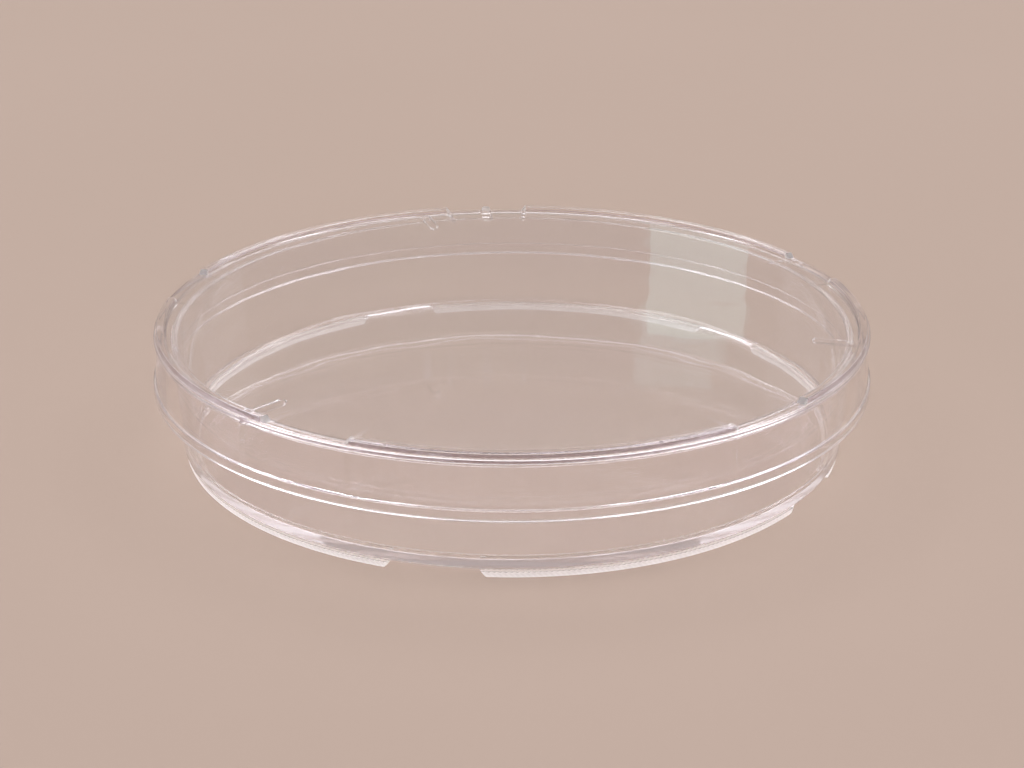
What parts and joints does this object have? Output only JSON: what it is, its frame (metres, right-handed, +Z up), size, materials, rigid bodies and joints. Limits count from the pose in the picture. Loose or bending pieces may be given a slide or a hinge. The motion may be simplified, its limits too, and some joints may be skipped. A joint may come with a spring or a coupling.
{
  "type": "petri dish",
  "caption": "Clear shallow round petri dish: flat-floored base with a stacking foot, and a loose vented lid with a stacking ring.",
  "frame": {"origin": "centre of the dish on the plane its foot stands on", "axes": "+Z up along the dish's axis, through the lid; +Y points to the lid's gate mark, 5 degrees off"},
  "size_m": [0.09, 0.09, 0.0162],
  "materials": {
    "base_plastic": "clear, polished",
    "lid_plastic": "clear, polished"
  },
  "bodies": {
    "base": {"base": "base_plastic"},
    "lid": {"lid": "lid_plastic"}
  },
  "joints": [
    {"name": "lid_lift", "type": "slide", "parent": "base", "child": "lid", "axis": [0, 0, 1], "range_m": [0, 0.03]}
  ]
}
